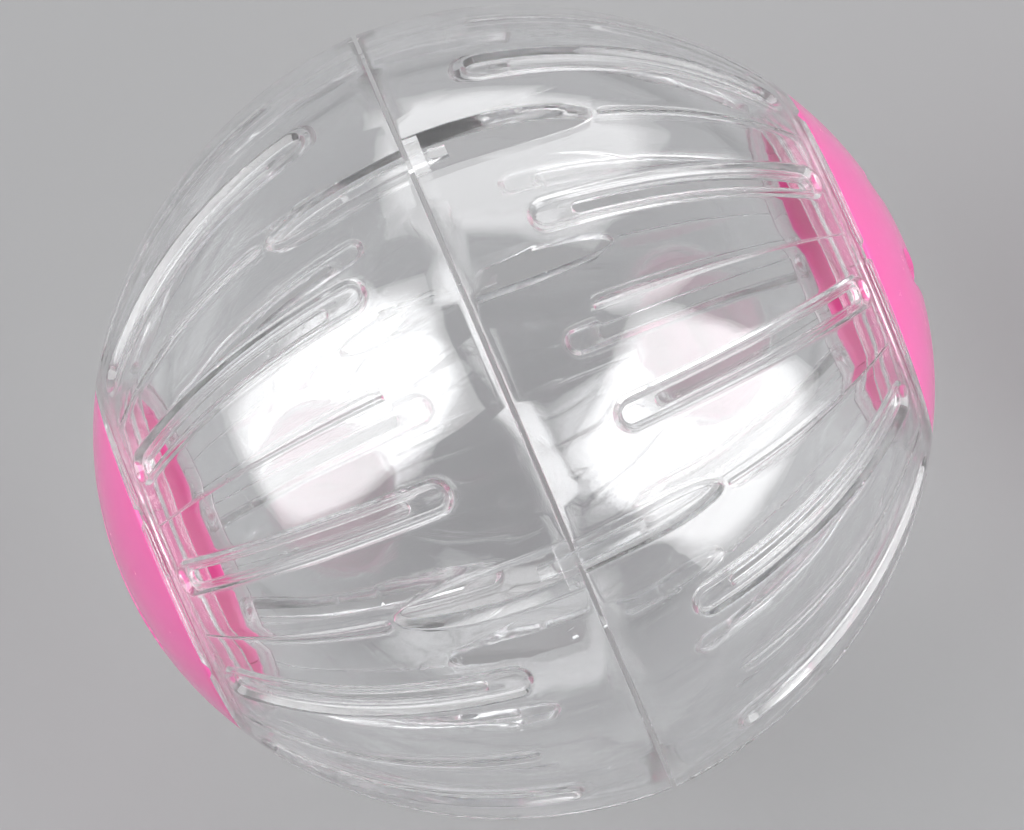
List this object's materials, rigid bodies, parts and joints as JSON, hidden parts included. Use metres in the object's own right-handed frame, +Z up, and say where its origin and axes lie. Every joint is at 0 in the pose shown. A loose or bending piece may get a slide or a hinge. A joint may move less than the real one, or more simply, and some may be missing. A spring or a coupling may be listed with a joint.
{
  "type": "hamster ball",
  "caption": "Clear plastic exercise ball for a small pet, of two vented half shells that snap together at the seam, with a pull-off domed door at each end.",
  "frame": {"origin": "centre of the ball, on the seam plane and on the axis through both doors", "axes": "+X along the axis through the doors, towards the right door; +Z up; the seam lies in the YZ plane"},
  "size_m": [0.1458, 0.14, 0.14],
  "materials": {
    "clear_plastic": "clear polished polystyrene with fine scratches",
    "pink_plastic": "glossy translucent-looking pink polystyrene"
  },
  "bodies": {
    "left_half": {"left_shell": "clear_plastic", "left_snap_tongues": "clear_plastic"},
    "right_half": {"right_shell": "clear_plastic", "right_snap_tongues": "clear_plastic"},
    "left_door": {"left_door": "pink_plastic", "left_door_lugs": "pink_plastic"},
    "right_door": {"right_door": "pink_plastic", "right_door_lugs": "pink_plastic"}
  },
  "joints": [
    {"name": "halves_pull_apart", "type": "slide", "parent": "left_half", "child": "right_half", "axis": [1, 0, 0], "range_m": [0, 0.09], "deforming": ["left_snap_tongues", "right_snap_tongues"]},
    {"name": "left_door_pull", "type": "slide", "parent": "left_half", "child": "left_door", "axis": [-1, 0, 0], "range_m": [0, 0.06], "deforming": ["left_door_lugs"]},
    {"name": "right_door_pull", "type": "slide", "parent": "right_half", "child": "right_door", "axis": [1, 0, 0], "range_m": [0, 0.06], "deforming": ["right_door_lugs"]}
  ]
}
